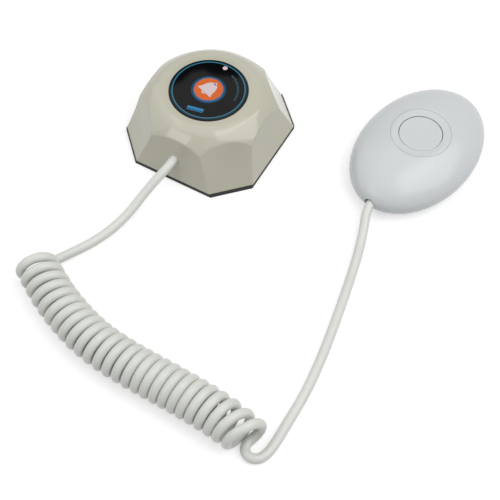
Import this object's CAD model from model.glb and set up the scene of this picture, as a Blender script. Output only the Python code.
import math

import bpy
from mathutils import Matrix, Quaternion, Vector


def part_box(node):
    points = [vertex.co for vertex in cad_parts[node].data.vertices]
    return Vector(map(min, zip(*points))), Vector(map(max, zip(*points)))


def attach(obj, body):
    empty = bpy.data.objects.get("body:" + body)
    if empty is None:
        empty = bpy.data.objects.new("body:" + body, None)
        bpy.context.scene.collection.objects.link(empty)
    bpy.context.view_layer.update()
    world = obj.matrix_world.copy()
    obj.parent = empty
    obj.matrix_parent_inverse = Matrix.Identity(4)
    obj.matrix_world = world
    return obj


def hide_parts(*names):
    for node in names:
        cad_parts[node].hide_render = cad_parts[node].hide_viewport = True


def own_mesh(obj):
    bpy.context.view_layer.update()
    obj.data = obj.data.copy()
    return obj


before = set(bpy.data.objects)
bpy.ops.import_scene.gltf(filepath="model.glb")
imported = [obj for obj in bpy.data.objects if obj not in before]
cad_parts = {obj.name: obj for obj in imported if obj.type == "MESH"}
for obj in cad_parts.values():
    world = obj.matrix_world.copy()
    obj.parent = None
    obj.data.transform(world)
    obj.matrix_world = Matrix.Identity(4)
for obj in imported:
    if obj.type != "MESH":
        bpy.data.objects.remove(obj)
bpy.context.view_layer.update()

# Lengths are in millimetres and angles in degrees, except where a comment says metres.
MM = 0.001

# Camera, fitted to the pad's corners, the round face and the cord in the photograph
CAMERA_AT = (0.17218, -0.26758, 0.39433)        # in metres
CAMERA_TARGET = (0.04797, -0.04808, 0.0)        # in metres
CAMERA_LENS = 79.2
SENSOR_WIDTH = 36.0

# Cord
CORD_RADIUS = 2.03
CORD_STEPS = 5                  # of the drawn line, between two of its control points
CORD_BEVEL_STEPS = 8            # of the drawn line, round the cord
ROUTE_STEPS = 24                # of the line that the curl is wound round
SPLINE_ORDER = 3
BASE_TAIL = [
    (0.0, -22.4, 12.4), (0.1, -32.0, 12.35), (-1.2, -38.8, 11.0), (-3.6, -47.2, 7.6),
    (-5.7, -59.0, 3.3), (-8.2, -70.0, 2.2), (-11.8, -79.5, 2.2), (-16.6, -88.0, 2.2),
    (-20.6, -94.9, 2.2)]
CURL_ROUTE = [
    (-25.0, -101.0, 9.2), (-13.2, -108.6, 9.2), (1.0, -115.4, 9.2), (17.0, -120.6, 9.2),
    (34.0, -122.4, 9.2), (52.0, -122.6, 9.2), (68.0, -123.1, 9.2), (81.0, -124.2, 9.2),
    (94.0, -126.6, 9.2)]
HANDSET_TAIL = [
    (90.4, -126.6, 2.2), (91.8, -129.5, 2.2), (95.0, -130.5, 2.2), (97.9, -129.0, 2.2),
    (99.6, -125.2, 2.2), (100.1, -119.4, 2.2), (100.1, -110.5, 2.2), (100.3, -97.0, 2.2),
    (98.7, -80.0, 2.2), (95.7, -61.0, 2.2), (92.3, -42.5, 2.2), (89.3, -28.0, 2.3),
    (86.2, -17.0, 4.2), (83.0, -8.4, 7.5), (84.3, 0.4, 7.9)]

# Curl
CURL_RADIUS = 7.05              # of the cord's middle line
CURL_PITCHES = (                # of each of the 26 turns, of which the last stand open
    5.3, 5.15, 5.0, 4.85, 4.7, 4.6, 4.5, 4.48,
    4.46, 4.46, 4.46, 4.46, 4.46, 4.46,
    4.18, 4.18, 4.18, 4.18, 4.18, 4.18, 4.18,
    4.4, 4.6, 5.0, 5.5, 7.0)
CURL_BACK_PITCH = -0.1          # of the last half turn, which comes back under the turn before
CURL_START = 2.2                # of the first turn, along the route
CURL_POINTS = 16                # control points in a turn
CURL_LEAN = -22.0               # how far the end of the last turn is swung round
CURL_LEANING_TURNS = 2.5        # turns before the end in which that swing grows

# Soft lip that closes the housing's hole round the cord
LIP_AT = (0.0, -30.15, 12.3)
LIP_RADIUS = 2.25
LIP_SECTION_RADIUS = 0.29
LIP_LEAN = 12.7                 # of the housing's wall there
LIP_STEPS = 48
LIP_ROUND_STEPS = 10

SPRINGS = (                     # CAD node, piece, joint that presses it, and the joint's travel
    ("key_spring", "key_return_spring", "call_key_press", 0.6),
    ("handset_spring", "handset_return_spring", "handset_button_press", 1.2))

# Faint line round the dish of the handheld button
DISH_MIDDLE = (89.0, 29.9)
DISH_LINE_RADIUS = 13.2
DISH_LINE_HALF_WIDTH = 0.16

# Depth of the bumps in the materials, in metres
GRAIN_DEPTH = 0.00002
FOAM_DEPTH = 0.00015

# Prints in the materials of the face and the key
RING_RADIUS = 15.95
RING_HALF_WIDTH = 0.22
RING_SOFT_EDGE = 0.08
BAND_RADIUS = 16.3
BAND_HALF_WIDTH = 0.45
BAND_SOFT_EDGE = 0.15
SURROUND_RADIUS = 7.6           # blue print on the face round the key
SURROUND_SOFT_EDGE = 0.15
DISC_RADIUS = 6.3
DISC_SOFT_EDGE = 0.06

# Raised prints
PRINT_THICKNESS = 0.05
PRINT_SUNK = 0.02
BELL_AT = (-1.05, -2.3)         # middle of the bell's mouth
BELL_TURN = -20.0
BELL_SIDE = [
    (0.0, 6.7), (1.5, 6.3), (2.55, 5.0), (3.05, 3.5), (3.35, 2.0), (3.7, 1.0), (4.15, 0.35)]
BELL_SIDE_STEPS = 8
KNOB_HEIGHT = 6.75
KNOB_RADIUS = 0.7
KNOB_STEPS = 24
CLAPPER_HEIGHT = -0.2
CLAPPER_HALF_WIDTH = 1.1
CLAPPER_DEPTH = 0.8
CLAPPER_STEPS = 16
TICKS = 19
TICK_FIRST_ANGLE = 66.0
TICK_ANGLE_STEP = 3.6
TICK_FROM = 12.35
TICK_TO = 13.35
TICK_WIDTH = 0.45
THIRD_TICK_WIDTH = 0.6          # every third tick is wider
BAR_AT = (0.5, -12.0)
BAR_TURN = 11.0
BAR_HALF_LENGTH = 3.7
BAR_HEIGHTS = ((-0.7, 0.7), (-1.4, -1.05))

# Stage and light. The lamps stand where the photograph's highlights mirror them.
FLOOR_HALF_SIZE = 3.0           # in metres
FLOOR_SHADE = 0.6
FLOOR_GLOW = 0.52               # strength with which the floor shows white
SURROUND_LIGHT = 0.29           # strength of the white surround where it isn't looked at
CARD_MIDDLE = (-0.354, 0.551, 0.783)    # in metres
CARD_ACROSS = (0.841, 0.541, 0.0)
CARD_ALONG = (0.408, -0.636, 0.655)
CARD_OUTLINE = [                # from its middle, across and along
    (-52, -6), (-36, -12), (-22, -24), (-6, -26), (8, -18), (24, -17), (40, -14), (47, -22),
    (36, -42), (4, -50), (-28, -46), (-56, -28)]
LAMPS = (                       # name, place, target and size in metres, watts, roll
    ("key_panel", (0.503, 0.08, 0.72), (0.02, -0.01, 0.02), (0.73, 0.92), 4.3, 36.0),
    ("left_panel", (-0.85, -0.12, 0.75), (0.02, -0.02, 0.0), (1.2, 1.2), 2.7, 0.0),
    ("top_panel", (0.02, -0.02, 1.3), (0.02, -0.02, 0.0), (1.4, 1.4), 4.2, 0.0),
    ("front_panel", (-0.26, -0.555, 0.51), (0.0, -0.02, 0.02), (0.4, 0.3), 0.7, 0.0))


def srgb(red, green, blue):
    """A colour as a screen shows it, 0 to 255, in the linear values that a shader takes."""
    channels = []
    for value in (red, green, blue):
        share = value / 255
        channels.append(share / 12.92 if share <= 0.04045 else ((share + 0.055) / 1.055) ** 2.4)
    return (*channels, 1.0)


IVORY = srgb(188, 186, 168)
PALE = srgb(203, 207, 209)
CORD_WHITE = srgb(214, 216, 210)
NICKEL = srgb(190, 188, 182)
DEEP_BLACK = srgb(36, 36, 38)
DISH_LINE_GREY = srgb(171, 175, 180)
FACE_BLACK = srgb(7, 8, 10)
BAND_TEAL = srgb(12, 50, 64)
RING_BLUE = srgb(62, 122, 148)
SURROUND_BLUE = srgb(16, 88, 120)
KEY_ORANGE = srgb(212, 98, 36)
KEY_RIM_BLUE = srgb(38, 98, 146)
WIRE_RED = srgb(170, 28, 24)
WIRE_BLACK = srgb(30, 30, 32)


def in_metres(point):
    return tuple(x * MM for x in point)


def put_in_scene(name, data):
    thing = bpy.data.objects.new(name, data)
    bpy.context.scene.collection.objects.link(thing)
    return thing


def mesh_piece(name, vertices, faces, material):
    """A mesh object with these vertices, in metres."""
    mesh = bpy.data.meshes.new(name)
    mesh.from_pydata(vertices, [], faces)
    mesh.update()
    mesh.materials.append(material)
    return put_in_scene(name, mesh)


# Shader groups

class Board:
    """The nodes of one material or group, with short ways to add and join them."""

    def __init__(self, tree):
        self.tree = tree

    def add(self, kind, **settings):
        node = self.tree.nodes.new(kind)
        for key, value in settings.items():
            setattr(node, key, value)
        return node

    def join(self, source, target):
        self.tree.links.new(source, target)

    def feed(self, target, value):
        if isinstance(value, bpy.types.NodeSocket):
            self.join(value, target)
        else:
            target.default_value = value

    def maths(self, operation, *values):
        node = self.add("ShaderNodeMath", operation=operation)
        for socket, value in zip(node.inputs, values):
            self.feed(socket, value)
        return node.outputs[0]

    def spread(self, value, low, high, to_low, to_high):
        node = self.add("ShaderNodeMapRange")
        for socket, given in zip(node.inputs[:5], (value, low, high, to_low, to_high)):
            self.feed(socket, given)
        return node.outputs[0]

    def mix(self, share, first, second):
        """A mix of two colours, which are this node's sockets 6 and 7, and output 2."""
        node = self.add("ShaderNodeMix", data_type="RGBA")
        self.feed(node.inputs["Factor"], share)
        self.feed(node.inputs[6], first)
        self.feed(node.inputs[7], second)
        return node.outputs[2]

    def noise(self, place, scale, detail=3.0, rough=0.5):
        node = self.add("ShaderNodeTexNoise")
        self.feed(node.inputs["Vector"], place)
        self.feed(node.inputs["Scale"], scale)
        node.inputs["Detail"].default_value = detail
        node.inputs["Roughness"].default_value = rough
        return node.outputs["Fac"]

    def place(self):
        return self.add("ShaderNodeTexCoord").outputs["Object"]


def new_group(name, inputs, outputs):
    tree = bpy.data.node_groups.new(name, "ShaderNodeTree")
    for label, kind, value in inputs:
        socket = tree.interface.new_socket(label, in_out="INPUT", socket_type=kind)
        socket.default_value = value
    for label, kind in outputs:
        tree.interface.new_socket(label, in_out="OUTPUT", socket_type=kind)
    board = Board(tree)
    return board, board.add("NodeGroupInput").outputs, board.add("NodeGroupOutput").inputs


FLOAT = "NodeSocketFloat"
COLOUR = "NodeSocketColor"


def moulded_surface():
    """Cloudy shade, finger-touched gloss and a very fine grain, as a moulded part has."""
    board, given, out = new_group(
        "Moulded surface",
        [("Colour", COLOUR, (0.8, 0.8, 0.8, 1)), ("Cloud", FLOAT, 0.05),
         ("Cloud Scale", FLOAT, 60.0), ("Roughness", FLOAT, 0.2), ("Touch", FLOAT, 0.05),
         ("Grain Scale", FLOAT, 2500.0)],
        [("Colour", COLOUR), ("Roughness", FLOAT), ("Height", FLOAT)])
    place = board.place()
    cloud = board.noise(place, given["Cloud Scale"], detail=4.0)
    shade = board.maths("MULTIPLY", board.maths("SUBTRACT", cloud, 0.5), given["Cloud"])
    tint = board.add("ShaderNodeHueSaturation")
    board.join(given["Colour"], tint.inputs["Color"])
    board.join(board.maths("ADD", 1.0, shade), tint.inputs["Value"])
    board.join(board.maths("SUBTRACT", 1.0, shade), tint.inputs["Saturation"])
    board.join(tint.outputs["Color"], out["Colour"])
    smear_scale = board.maths("MULTIPLY", given["Cloud Scale"], 3.0)
    smear = board.noise(place, smear_scale, detail=6.0, rough=0.65)
    smear = board.maths("SUBTRACT", smear, 0.5)
    gloss = board.maths("MULTIPLY_ADD", smear, given["Touch"], given["Roughness"])
    board.join(gloss, out["Roughness"])
    board.join(board.noise(place, given["Grain Scale"], detail=2.0), out["Height"])
    return board.tree


def rolled_metal():
    """Fine drawn lines along X, a little stain and uneven gloss."""
    board, given, out = new_group(
        "Rolled metal",
        [("Colour", COLOUR, (0.6, 0.6, 0.6, 1)), ("Stain", FLOAT, 0.2),
         ("Roughness", FLOAT, 0.3), ("Line Scale", FLOAT, 3000.0)],
        [("Colour", COLOUR), ("Roughness", FLOAT), ("Height", FLOAT)])
    stretch = board.add("ShaderNodeMapping")
    stretch.inputs["Scale"].default_value = (0.06, 1.0, 1.0)
    board.join(board.place(), stretch.inputs["Vector"])
    lines = board.noise(stretch.outputs["Vector"], given["Line Scale"])
    stain = board.noise(board.place(), 300.0, detail=4.0)
    dark = board.add("ShaderNodeHueSaturation")
    board.join(given["Colour"], dark.inputs["Color"])
    drop = board.maths("MULTIPLY", board.spread(stain, 0.4, 0.7, 0.0, 1.0), given["Stain"])
    board.join(board.maths("SUBTRACT", 1.0, drop), dark.inputs["Value"])
    board.join(dark.outputs["Color"], out["Colour"])
    uneven = board.spread(lines, 0.3, 0.7, -0.08, 0.08)
    board.join(board.maths("ADD", given["Roughness"], uneven), out["Roughness"])
    board.join(lines, out["Height"])
    return board.tree


def foam_cells():
    """Small open cells of a foam pad, as a shade and a height."""
    board, given, out = new_group(
        "Foam cells",
        [("Colour", COLOUR, (0.02, 0.02, 0.02, 1)), ("Lit", COLOUR, (0.06, 0.06, 0.06, 1)),
         ("Cell Scale", FLOAT, 2600.0)],
        [("Colour", COLOUR), ("Height", FLOAT)])
    cells = board.add("ShaderNodeTexVoronoi")
    board.join(board.place(), cells.inputs["Vector"])
    board.join(given["Cell Scale"], cells.inputs["Scale"])
    height = board.spread(cells.outputs["Distance"], 0.0, 0.7, 0.0, 1.0)
    board.join(board.mix(height, given["Colour"], given["Lit"]), out["Colour"])
    board.join(height, out["Height"])
    return board.tree


def settled_dust():
    """A thin specked film on what faces up."""
    board, given, out = new_group(
        "Settled dust",
        [("Colour", COLOUR, (0.5, 0.5, 0.5, 1)),
         ("Dust Colour", COLOUR, (0.75, 0.73, 0.68, 1)), ("Amount", FLOAT, 0.1)],
        [("Colour", COLOUR)])
    specks = board.noise(board.place(), 1400.0, detail=2.0)
    facing = board.add("ShaderNodeSeparateXYZ")
    board.join(board.add("ShaderNodeNewGeometry").outputs["Normal"], facing.inputs["Vector"])
    up = board.spread(facing.outputs["Z"], 0.2, 1.0, 0.0, 1.0)
    film = board.maths("MULTIPLY", board.spread(specks, 0.6, 0.8, 0.0, 1.0), up)
    share = board.maths("MULTIPLY", film, given["Amount"])
    board.join(board.mix(share, given["Colour"], given["Dust Colour"]), out["Colour"])
    return board.tree


MOULDED = moulded_surface()
ROLLED = rolled_metal()
FOAM = foam_cells()
DUST = settled_dust()


# Materials

def blank(name):
    material = bpy.data.materials.new(name)
    material.use_nodes = True
    board = Board(material.node_tree)
    shader = material.node_tree.nodes["Principled BSDF"]
    return material, board, shader


def put_group(board, tree, **values):
    node = board.add("ShaderNodeGroup", node_tree=tree)
    for key, value in values.items():
        board.feed(node.inputs[key.replace("_", " ")], value)
    return node.outputs


def bump(board, shader, height, strength, depth):
    """Roughens the surface by this height, which is as deep as the depth in metres."""
    node = board.add("ShaderNodeBump")
    node.inputs["Strength"].default_value = strength
    node.inputs["Distance"].default_value = depth
    board.join(height, node.inputs["Height"])
    board.join(node.outputs["Normal"], shader.inputs["Normal"])


def plastic(name, colour, roughness, cloud=0.05, touch=0.06, cloud_scale=60.0,
            grain_scale=2500.0, grain=0.05, ior=1.49, dust=0.0):
    """A moulded plastic. The colour is one colour, or a function that draws it with nodes."""
    material, board, shader = blank(name)
    shade = colour(board) if callable(colour) else colour
    skin = put_group(board, MOULDED, Colour=shade, Cloud=cloud, Cloud_Scale=cloud_scale,
                     Roughness=roughness, Touch=touch, Grain_Scale=grain_scale)
    shown = skin["Colour"]
    if dust:
        shown = put_group(board, DUST, Colour=shown, Amount=dust)["Colour"]
    board.join(shown, shader.inputs["Base Color"])
    board.join(skin["Roughness"], shader.inputs["Roughness"])
    shader.inputs["IOR"].default_value = ior
    bump(board, shader, skin["Height"], grain, GRAIN_DEPTH)
    return material


def metal(name, colour, roughness=0.3, stain=0.2):
    material, board, shader = blank(name)
    skin = put_group(board, ROLLED, Colour=colour, Stain=stain, Roughness=roughness)
    board.join(skin["Colour"], shader.inputs["Base Color"])
    board.join(skin["Roughness"], shader.inputs["Roughness"])
    shader.inputs["Metallic"].default_value = 1.0
    bump(board, shader, skin["Height"], 0.1, GRAIN_DEPTH)
    return material


def foam(name):
    material, board, shader = blank(name)
    skin = put_group(board, FOAM, Colour=srgb(28, 27, 27), Lit=srgb(52, 51, 50))
    board.join(skin["Colour"], shader.inputs["Base Color"])
    shader.inputs["Roughness"].default_value = 0.85
    bump(board, shader, skin["Height"], 0.5, FOAM_DEPTH)
    return material


def from_middle(board, middle=(0.0, 0.0)):
    """Distance, in metres, from the upright line through this point."""
    moved = board.add("ShaderNodeVectorMath", operation="SUBTRACT")
    board.join(board.place(), moved.inputs[0])
    moved.inputs[1].default_value = in_metres((*middle, 0.0))
    flat = board.add("ShaderNodeVectorMath", operation="MULTIPLY")
    board.join(moved.outputs[0], flat.inputs[0])
    flat.inputs[1].default_value = (1, 1, 0)
    length = board.add("ShaderNodeVectorMath", operation="LENGTH")
    board.join(flat.outputs[0], length.inputs[0])
    return length.outputs["Value"]


def edge_mask(board, distance, radius, soft, inside, outside):
    """One value inside the radius and another outside it."""
    return board.spread(distance, (radius - soft) * MM, (radius + soft) * MM, inside, outside)


def ring_mask(board, distance, radius, half_width, soft=RING_SOFT_EDGE):
    """1 on a ring with this radius, and else 0."""
    off = board.maths("ABSOLUTE", board.maths("SUBTRACT", distance, radius * MM))
    return edge_mask(board, off, half_width, soft, 1.0, 0.0)


def face_print(board):
    """Black with a dark teal band and a thin pale line near the rim, and blue round the key."""
    distance = from_middle(board)
    band = ring_mask(board, distance, BAND_RADIUS, BAND_HALF_WIDTH, BAND_SOFT_EDGE)
    shade = board.mix(band, FACE_BLACK, BAND_TEAL)
    ring = ring_mask(board, distance, RING_RADIUS, RING_HALF_WIDTH)
    shade = board.mix(ring, shade, RING_BLUE)
    around = edge_mask(board, distance, SURROUND_RADIUS, SURROUND_SOFT_EDGE, 1.0, 0.0)
    return board.mix(around, shade, SURROUND_BLUE)


def key_print(board):
    """An orange disc inside a blue rim."""
    rim = edge_mask(board, from_middle(board), DISC_RADIUS, DISC_SOFT_EDGE, 0.0, 1.0)
    return board.mix(rim, KEY_ORANGE, KEY_RIM_BLUE)


def pebble_skin(board):
    """Pale plastic with a faint darker line round the dish."""
    distance = from_middle(board, DISH_MIDDLE)
    line = ring_mask(board, distance, DISH_LINE_RADIUS, DISH_LINE_HALF_WIDTH)
    return board.mix(line, PALE, DISH_LINE_GREY)


def two_wires(board):
    """Red on one side of the middle line and black on the other, so each wire has its colour."""
    apart = board.add("ShaderNodeSeparateXYZ")
    board.join(board.place(), apart.inputs["Vector"])
    right = board.maths("GREATER_THAN", apart.outputs["X"], 0.0)
    return board.mix(right, WIRE_RED, WIRE_BLACK)


def board_lacquer(board):
    """Two greens in a brick pattern, with lighter lines between them as the tracks."""
    tracks = board.add("ShaderNodeTexBrick")
    board.join(board.place(), tracks.inputs["Vector"])
    tracks.inputs["Scale"].default_value = 260.0
    tracks.inputs["Mortar Size"].default_value = 0.03
    tracks.inputs["Color1"].default_value = srgb(24, 96, 54)
    tracks.inputs["Color2"].default_value = srgb(20, 84, 48)
    tracks.inputs["Mortar"].default_value = srgb(52, 128, 74)
    return tracks.outputs["Color"]


# What several plastics share. The inner ones are inside the housings.
INNER = {"touch": 0.1}
INNER_BLACK = {"touch": 0.1, "cloud": 0.1}
PALE_GLOSS = {
    "roughness": 0.22, "cloud": 0.03, "touch": 0.03, "grain_scale": 1800.0, "grain": 0.02}
INK = {"cloud": 0.04, "touch": 0.05, "cloud_scale": 300.0}

FINISHES = {
    "base_pad": foam("pad foam"),
    "top_shell": plastic("ivory gloss", IVORY, 0.09, touch=0.03, cloud_scale=45.0,
                         grain_scale=1800.0, grain=0.02, ior=1.57, dust=0.012),
    "bottom_cover": plastic("ivory floor", srgb(192, 190, 172), 0.45,
                            cloud=0.06, grain=0.3, **INNER),
    "cover_screws": metal("cover screw steel", NICKEL),
    "face_plate": plastic("face print", face_print, 0.04, cloud=0.02, touch=0.015,
                          cloud_scale=80.0, grain=0.0, ior=1.3),
    "call_key": plastic("key print", key_print, 0.12, cloud=0.06, touch=0.03,
                        cloud_scale=500.0, grain=0.02, ior=1.33),
    "key_spring": metal("key spring steel", NICKEL, 0.25),
    "lamp_pipe": plastic("lamp lens", srgb(214, 192, 200), 0.12, touch=0.03, cloud_scale=400.0),
    "status_lamp": plastic("lamp chip", srgb(236, 226, 168), 0.35, cloud_scale=400.0, **INNER),
    "circuit_board": plastic("board lacquer", board_lacquer, 0.3, cloud_scale=200.0, **INNER),
    "board_screws": metal("board screw steel", NICKEL),
    "call_switch": plastic("switch black", DEEP_BLACK, 0.4, cloud_scale=300.0, **INNER_BLACK),
    "radio_chip": plastic("chip black", srgb(30, 30, 32), 0.55, cloud_scale=300.0, **INNER_BLACK),
    "antenna_coil": metal("copper wire", srgb(196, 122, 74), 0.25),
    "cord_header": plastic("header nylon", srgb(224, 216, 192), 0.4, cloud_scale=200.0, **INNER),
    "cord_plug": plastic("plug nylon", srgb(230, 226, 208), 0.4, cloud_scale=200.0, **INNER),
    "lead_wires": plastic("wire colours", two_wires, 0.35, cloud_scale=300.0, **INNER),
    "battery": metal("battery can", srgb(120, 122, 128), 0.3, 0.3),
    "battery_cradle": plastic("cradle black", srgb(40, 40, 42), 0.5,
                              cloud_scale=150.0, **INNER_BLACK),
    "battery_contact_plus": metal("contact nickel plus", NICKEL, 0.2),
    "battery_contact_minus": metal("contact nickel minus", NICKEL, 0.2),
    "cord_clamp": plastic("clamp black", srgb(42, 42, 44), 0.5, cloud_scale=150.0, **INNER_BLACK),
    "clamp_screws": metal("clamp screw steel", NICKEL),
    "handset_top_shell": plastic("pale gloss upper", pebble_skin,
                                 cloud_scale=35.0, dust=0.01, **PALE_GLOSS),
    "handset_bottom_shell": plastic("pale gloss lower", PALE, cloud_scale=35.0, **PALE_GLOSS),
    "handset_screws": metal("handset screw steel", NICKEL),
    "handset_button": plastic("pale gloss button", srgb(204, 207, 209),
                              dust=0.01, **PALE_GLOSS),
    "handset_spring": metal("handset spring steel", NICKEL, 0.25),
    "handset_switch": plastic("handset switch black", DEEP_BLACK, 0.4,
                              cloud_scale=300.0, **INNER_BLACK),
    "handset_board": plastic("handset board lacquer", board_lacquer, 0.3,
                             cloud_scale=200.0, **INNER),
    "handset_cord_clamp": plastic("handset clamp white", srgb(214, 214, 212), 0.45,
                                  cloud_scale=150.0, **INNER),
}


def dress_cad_nodes():
    for name, material in FINISHES.items():
        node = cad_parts[name]
        if not node.material_slots:
            node.data.materials.append(material)
        for slot in node.material_slots:
            slot.material = material


# Making the springs

def make_springs():
    """Return springs, alike to the CAD springs at rest, that shorten as their joint is pressed."""
    for node, name, joint, travel in SPRINGS:
        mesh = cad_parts[node].data.copy()
        mesh.name = name
        mesh.materials.clear()
        mesh.materials.append(FINISHES[node])
        spring = put_in_scene(name, mesh)
        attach(spring, "call_set")
        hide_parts(node)
        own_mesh(spring)


# Making the cord, and the lip round it

def nurbs_curve(name, points):
    """One open smooth line with these points, in metres, as its control points."""
    data = bpy.data.curves.new(name, "CURVE")
    data.dimensions = "3D"
    line = data.splines.new("NURBS")
    line.points.add(len(points) - 1)
    for spot, point in zip(line.points, points):
        spot.co = (*point, 1.0)
    line.order_u = SPLINE_ORDER
    line.use_endpoint_u = True
    return data


def read_line(name, points):
    """Points along the smooth line, as Blender draws it."""
    data = nurbs_curve(name, points)
    data.resolution_u = ROUTE_STEPS
    drawn = put_in_scene(name, data)
    mesh = bpy.data.meshes.new_from_object(drawn)
    line = [vertex.co.copy() for vertex in mesh.vertices]
    bpy.data.objects.remove(drawn)
    bpy.data.curves.remove(data)
    bpy.data.meshes.remove(mesh)
    return line


def curl_points():
    """Control points of the left-handed curl, wound round the line that its middle follows.

    The drawn line runs inside its control points, so they stand a little further out. The last
    half turn goes back along the route, so the index steps both ways.
    """
    line = read_line("curl_route", [in_metres(p) for p in CURL_ROUTE])
    walked = [0.0]
    for before, here in zip(line, line[1:]):
        walked.append(walked[-1] + (here - before).length)
    radius = CURL_RADIUS * MM / math.cos(math.pi / CURL_POINTS)
    up = Vector((0, 0, 1))
    points = []
    along = CURL_START * MM
    index = 0
    for turn, pitch in enumerate(CURL_PITCHES):
        for step in range(CURL_POINTS):
            while index < len(line) - 2 and walked[index + 1] < along:
                index += 1
            while index > 0 and walked[index] > along:
                index -= 1
            share = (along - walked[index]) / (walked[index + 1] - walked[index])
            middle = line[index].lerp(line[index + 1], share)
            heading = (line[index + 1] - line[index]).normalized()
            far_side = up.cross(heading).normalized()
            turns_left = len(CURL_PITCHES) - turn - step / CURL_POINTS
            lean = CURL_LEAN * max(0.0, 1 - turns_left / CURL_LEANING_TURNS)
            far_side.rotate(Quaternion(up, math.radians(lean)))
            angle = math.pi + 2 * math.pi * step / CURL_POINTS
            points.append(middle + radius * (math.cos(angle) * up + math.sin(angle) * far_side))
            going_back = turn == len(CURL_PITCHES) - 1 and step >= CURL_POINTS // 2
            along += (CURL_BACK_PITCH if going_back else pitch) * MM / CURL_POINTS
    return points


def make_cord(material):
    points = [Vector(in_metres(p)) for p in BASE_TAIL] + curl_points()
    points += [Vector(in_metres(p)) for p in HANDSET_TAIL]
    data = nurbs_curve("curly_call_cord", points)
    data.resolution_u = CORD_STEPS
    data.bevel_depth = CORD_RADIUS * MM
    data.bevel_resolution = CORD_BEVEL_STEPS
    data.use_fill_caps = True
    data.materials.append(material)
    cord = put_in_scene("curly_call_cord", data)
    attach(cord, "call_set")
    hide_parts("cord_base_tail", "curly_cord", "cord_handset_tail")


def make_lip(material):
    """A soft rounded ring in the housing's wall, snug round the cord."""
    vertices = []
    faces = []
    cosine = math.cos(math.radians(LIP_LEAN))
    sine = math.sin(math.radians(LIP_LEAN))
    for k in range(LIP_STEPS):
        angle = 2 * math.pi * k / LIP_STEPS
        here = k * LIP_ROUND_STEPS
        after = (k + 1) % LIP_STEPS * LIP_ROUND_STEPS
        for j in range(LIP_ROUND_STEPS):
            turn = 2 * math.pi * j / LIP_ROUND_STEPS
            out = LIP_RADIUS + LIP_SECTION_RADIUS * math.cos(turn)
            x, z = out * math.cos(angle), out * math.sin(angle)
            y = LIP_SECTION_RADIUS * math.sin(turn)
            vertices.append(in_metres((LIP_AT[0] + x, LIP_AT[1] + y * cosine + z * sine,
                                       LIP_AT[2] + z * cosine - y * sine)))
            beside = (j + 1) % LIP_ROUND_STEPS
            faces.append((here + j, after + j, after + beside, here + beside))
    piece = mesh_piece("cord_hole_lip", vertices, faces, material)
    for face in piece.data.polygons:
        face.use_smooth = True
    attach(piece, "call_set")


# Making the raised prints

def printed_piece(name, outlines, material, body, node):
    """A thin raised print on a CAD node's flat top, from closed outlines in its plane."""
    vertices = []
    faces = []
    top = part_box(node)[1].z
    low = top - PRINT_SUNK * MM
    high = top + PRINT_THICKNESS * MM
    for outline in outlines:
        count = len(outline)
        first = len(vertices)
        for height in (low, high):
            vertices += [(x * MM, y * MM, height) for x, y in outline]
        faces.append([first + count + k for k in range(count)])
        faces.append([first + k for k in reversed(range(count))])
        for k in range(count):
            after = (k + 1) % count
            faces.append([first + k, first + after, first + count + after, first + count + k])
    piece = mesh_piece(name, vertices, faces, material)
    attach(piece, body)


def turned(points, degrees, x=0.0, y=0.0):
    """The points turned about the middle, and then moved by x and y."""
    cosine = math.cos(math.radians(degrees))
    sine = math.sin(math.radians(degrees))
    return [(x + px * cosine - py * sine, y + px * sine + py * cosine) for px, py in points]


def rectangle(left, right, low, high):
    return [(left, low), (right, low), (right, high), (left, high)]


def smooth_side(points):
    """A smooth open line through the points."""
    line = []
    ends = [points[0]] + points + [points[-1]]
    for a, b, c, d in zip(ends, ends[1:], ends[2:], ends[3:]):
        for k in range(BELL_SIDE_STEPS):
            t = k / BELL_SIDE_STEPS
            line.append(tuple(
                0.5 * (2 * b[i] + (c[i] - a[i]) * t
                       + (2 * a[i] - 5 * b[i] + 4 * c[i] - d[i]) * t ** 2
                       + (3 * b[i] - a[i] - 3 * c[i] + d[i]) * t ** 3) for i in (0, 1)))
    line.append(points[-1])
    return line


def bell_outline():
    mouth = BELL_SIDE[-1][0]
    right = smooth_side(BELL_SIDE) + [(mouth, 0.0), (0.0, 0.0)]
    left = [(-x, y) for x, y in reversed(right[1:-1])]
    return right + left


def arc(half_width, half_height, height, first, sweep, steps):
    """Points on an oval arc with its middle on the bell's middle line."""
    angles = [first + sweep * k / steps for k in range(steps + 1)]
    return [(half_width * math.cos(a), height + half_height * math.sin(a)) for a in angles]


def make_bell(material):
    knob = arc(KNOB_RADIUS, KNOB_RADIUS, KNOB_HEIGHT, 0.0, 2 * math.pi, KNOB_STEPS)[:-1]
    clapper = arc(CLAPPER_HALF_WIDTH, CLAPPER_DEPTH, CLAPPER_HEIGHT,
                  math.pi, math.pi, CLAPPER_STEPS)
    shapes = [turned(s, BELL_TURN, *BELL_AT) for s in (bell_outline(), knob, clapper)]
    printed_piece("bell_mark", shapes, material, "call_key", "call_key")


def make_face_marks(teal, blue):
    """Plain ticks along an arc, and a plain bar with a thin one under it."""
    ticks = []
    for k in range(TICKS):
        half = (TICK_WIDTH if k % 3 else THIRD_TICK_WIDTH) / 2
        tick = rectangle(TICK_FROM, TICK_TO, -half, half)
        ticks.append(turned(tick, TICK_FIRST_ANGLE - TICK_ANGLE_STEP * k))
    printed_piece("arc_ticks", ticks, teal, "call_set", "face_plate")
    bars = [turned(rectangle(-BAR_HALF_LENGTH, BAR_HALF_LENGTH, *heights), BAR_TURN, *BAR_AT)
            for heights in BAR_HEIGHTS]
    printed_piece("maker_bar", bars, blue, "call_set", "face_plate")


# Making the stage, the light and the camera

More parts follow.
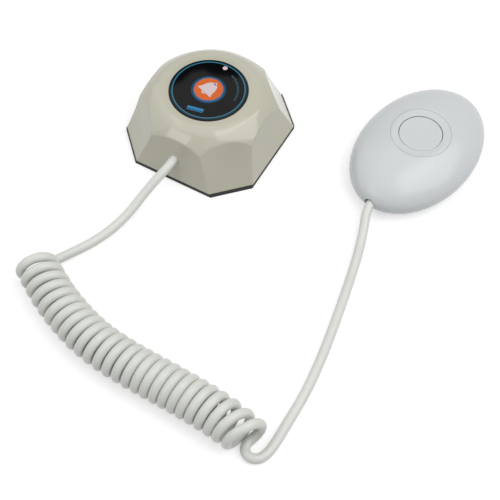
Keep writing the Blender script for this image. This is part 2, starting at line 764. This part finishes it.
def looked_at(board):
    """1 where the camera sees it, straight or by a glossy or clear surface, and else 0."""
    path = board.add("ShaderNodeLightPath").outputs
    seen = board.maths("ADD", path["Is Camera Ray"], path["Is Glossy Ray"])
    return board.maths("MINIMUM", board.maths("ADD", seen, path["Is Transmission Ray"]), 1.0)


def make_floor():
    material, board, shader = blank("pale floor")
    shader.inputs["Base Color"].default_value = (FLOOR_SHADE, FLOOR_SHADE, FLOOR_SHADE, 1)
    shader.inputs["Roughness"].default_value = 0.9
    shader.inputs["Specular IOR Level"].default_value = 0.0
    shader.inputs["Emission Color"].default_value = (1, 1, 1, 1)
    glow = board.maths("MULTIPLY", looked_at(board), FLOOR_GLOW)
    board.join(glow, shader.inputs["Emission Strength"])
    size = FLOOR_HALF_SIZE
    corners = [(x, y, 0) for x, y in rectangle(-size, size, -size, size)]
    mesh_piece("floor", corners, [(0, 1, 2, 3)], material)


def make_dark_card():
    """A small dark card of the studio, seen only as a crescent mirrored in the glossy face."""
    material, _, shader = blank("card black")
    shader.inputs["Base Color"].default_value = (0.0, 0.0, 0.0, 1)
    shader.inputs["Specular IOR Level"].default_value = 0.0
    middle, across, along = Vector(CARD_MIDDLE), Vector(CARD_ACROSS), Vector(CARD_ALONG)
    corners = [middle + x * MM * across + y * MM * along for x, y in CARD_OUTLINE]
    card = mesh_piece("dark_card", corners, [range(len(corners))], material)
    card.visible_camera = False
    card.visible_diffuse = False
    card.visible_shadow = False
    card.visible_transmission = False


def make_world():
    world = bpy.data.worlds.new("white surround")
    bpy.context.scene.world = world
    world.use_nodes = True
    board = Board(world.node_tree)
    background = world.node_tree.nodes["Background"]
    background.inputs["Color"].default_value = (1, 1, 1, 1)
    strength = board.spread(looked_at(board), 0.0, 1.0, SURROUND_LIGHT, 1.0)
    board.join(strength, background.inputs["Strength"])


def soft_lamp(name, at, target, size, watts, roll):
    data = bpy.data.lights.new(name, "AREA")
    data.shape = "RECTANGLE"
    data.size, data.size_y = size
    data.energy = watts
    lamp = put_in_scene(name, data)
    lamp.location = at
    aim = (Vector(target) - Vector(at)).to_track_quat("-Z", "Y")
    lamp.rotation_euler = (aim @ Quaternion((0, 0, 1), math.radians(roll))).to_euler()


def make_camera():
    data = bpy.data.cameras.new("camera")
    data.lens = CAMERA_LENS
    data.sensor_width = SENSOR_WIDTH
    camera = put_in_scene("camera", data)
    camera.location = CAMERA_AT
    aim = (Vector(CAMERA_TARGET) - Vector(CAMERA_AT)).to_track_quat("-Z", "Y")
    camera.rotation_euler = aim.to_euler()
    bpy.context.scene.camera = camera


make_camera()
make_cord(plastic("cord jacket", CORD_WHITE, 0.3, cloud=0.04, touch=0.08, cloud_scale=80.0,
                  grain_scale=2200.0, grain=0.08))
make_lip(FINISHES["top_shell"])
dress_cad_nodes()
make_springs()
make_bell(plastic("bell ink", srgb(208, 190, 194), 0.3, **INK))
make_face_marks(plastic("teal ink", srgb(8, 66, 76), 0.25, **INK),
                plastic("blue ink", srgb(26, 118, 168), 0.25, **INK))
make_floor()
make_dark_card()
make_world()
for lamp_facts in LAMPS:
    soft_lamp(*lamp_facts)
bpy.context.scene.view_settings.view_transform = "Standard"
